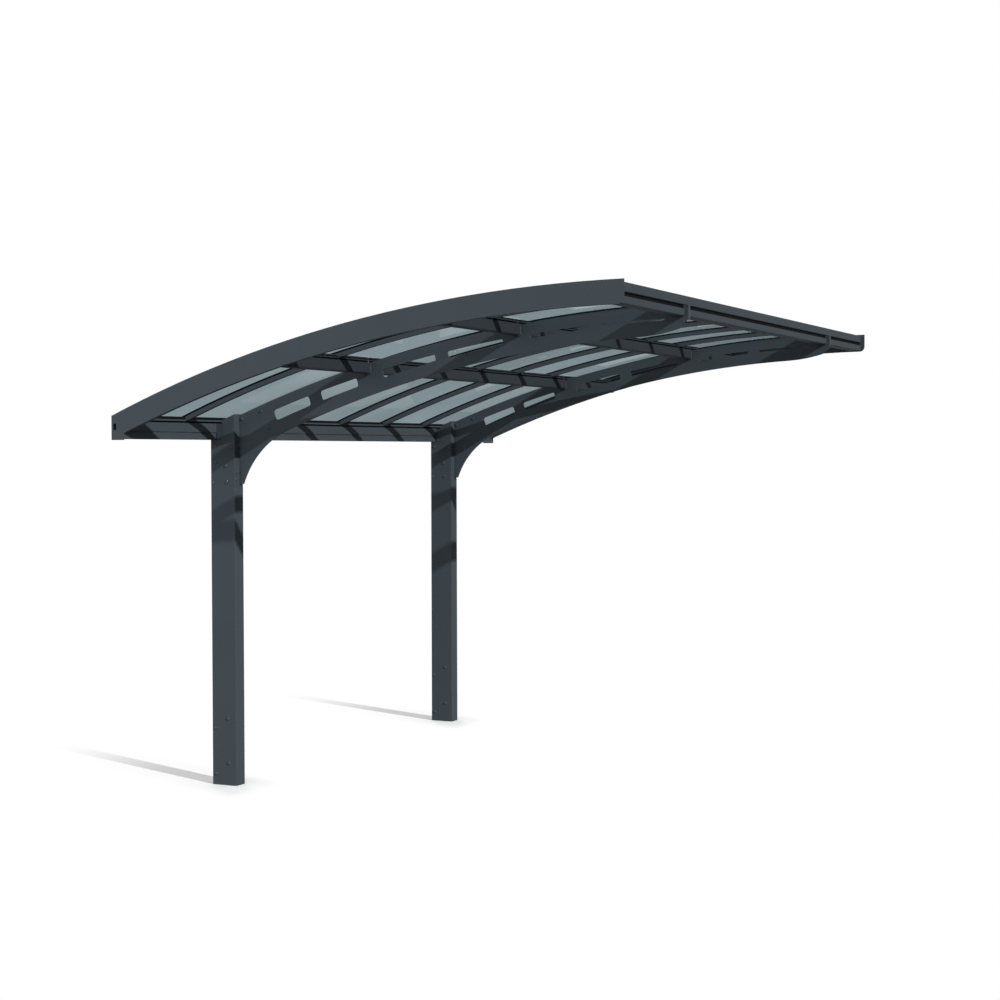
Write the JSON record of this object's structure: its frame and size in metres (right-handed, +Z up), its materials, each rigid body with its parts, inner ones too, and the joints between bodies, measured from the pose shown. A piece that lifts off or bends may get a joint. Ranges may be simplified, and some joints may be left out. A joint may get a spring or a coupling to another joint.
{
  "type": "cantilever carport",
  "caption": "Single-side cantilever carport: posts on one long side carry arched, slotted girders and a curved roof of clear tinted sheets with gutter, purlins and rims.",
  "frame": {"origin": "middle of the near post's foot plate, on the ground", "axes": "+X from the low gutter side toward the high free side, +Y along the gutter from the near post to the far post, +Z up"},
  "size_m": [3.164, 5, 2.9446],
  "materials": {
    "frame_paint": "satin powder coat, anthracite grey",
    "galvanised": "galvanised steel",
    "roof_sheet": "clear bluish-grey polycarbonate"
  },
  "bodies": {
    "root": {"near_post": "frame_paint", "near_foot": "galvanised", "near_post_head": "frame_paint", "near_girder": "frame_paint", "near_purlin_cleats": "frame_paint", "near_gutter_angle": "frame_paint", "near_rim": "frame_paint", "near_gutter_end": "frame_paint", "far_post": "frame_paint", "far_foot": "galvanised", "far_post_head": "frame_paint", "far_girder": "frame_paint", "far_purlin_cleats": "frame_paint", "far_gutter_angle": "frame_paint", "far_rim": "frame_paint", "far_gutter_end": "frame_paint", "gutter": "frame_paint", "eave_beam": "frame_paint", "lower_purlin_near": "frame_paint", "lower_purlin_middle": "frame_paint", "lower_purlin_far": "frame_paint", "upper_purlin_near": "frame_paint", "upper_purlin_middle": "frame_paint", "upper_purlin_far": "frame_paint", "glazing_bar_1": "frame_paint", "glazing_bar_2": "frame_paint", "glazing_bar_3": "frame_paint", "glazing_bar_4": "frame_paint", "glazing_bar_5": "frame_paint", "glazing_bar_6": "frame_paint", "glazing_bar_7": "frame_paint", "roof_sheet_1": "roof_sheet", "roof_sheet_2": "roof_sheet", "roof_sheet_3": "roof_sheet", "roof_sheet_4": "roof_sheet", "roof_sheet_5": "roof_sheet", "roof_sheet_6": "roof_sheet", "roof_sheet_7": "roof_sheet", "roof_sheet_8": "roof_sheet"}
  },
  "joints": []
}
